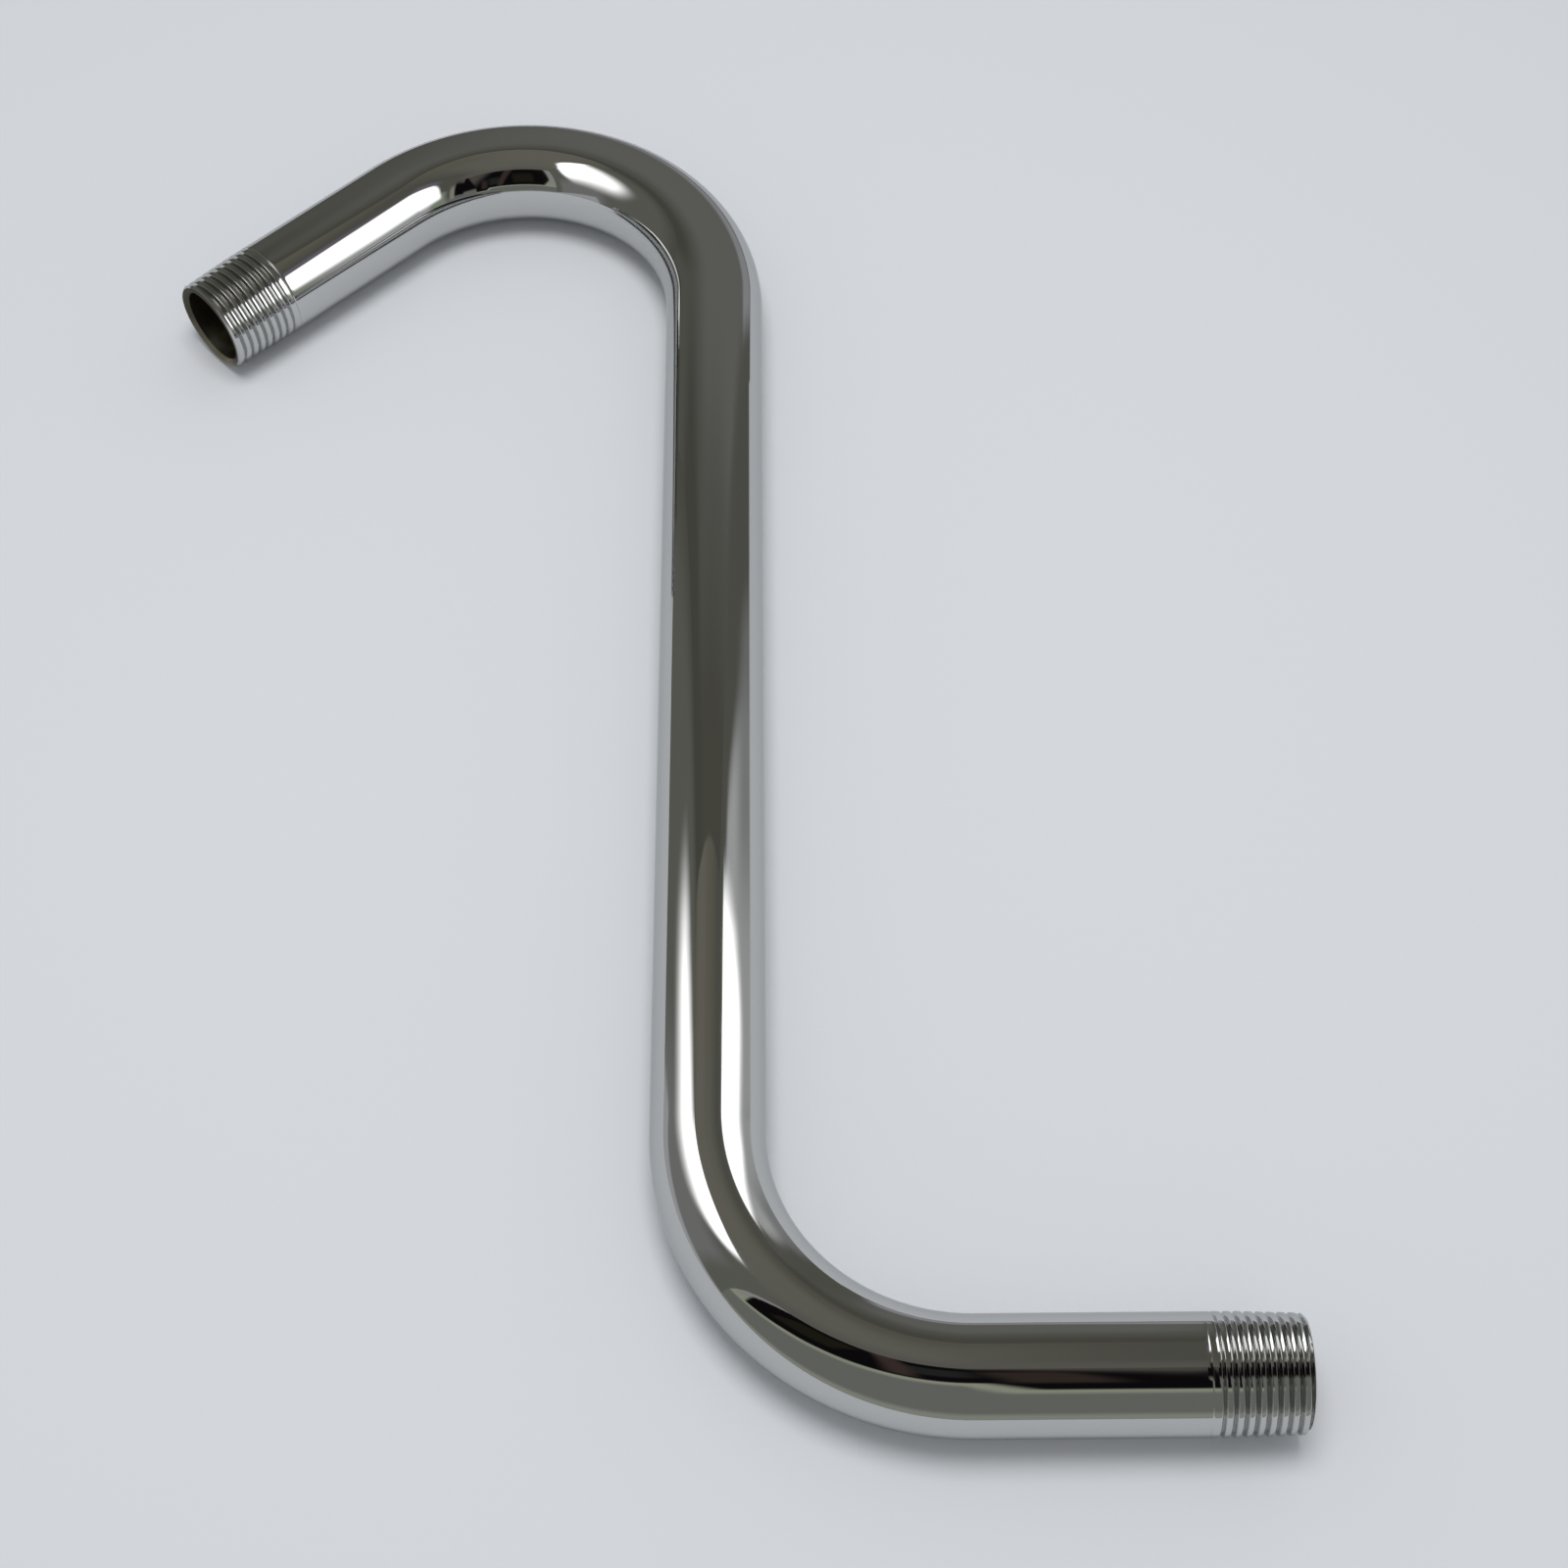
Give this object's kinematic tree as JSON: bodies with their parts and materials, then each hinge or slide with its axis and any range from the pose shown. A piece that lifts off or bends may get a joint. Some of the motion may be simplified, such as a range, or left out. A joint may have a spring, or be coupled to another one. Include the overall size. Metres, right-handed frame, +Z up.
{
  "type": "shower arm",
  "caption": "S-shaped chrome shower arm: a bent hollow tube with a tapered male pipe thread at each end, which lifts a shower head above its wall outlet.",
  "frame": {"origin": "middle of the underside of the arm as it lies flat", "axes": "+X out of the wall end along the wall leg, +Y along the riser towards the upper bend, +Z up from the surface it lies on"},
  "size_m": [0.2138, 0.302, 0.0206],
  "materials": {
    "chrome": "polished chrome plating on brass"
  },
  "bodies": {
    "root": {"arm_tube": "chrome"}
  },
  "joints": []
}
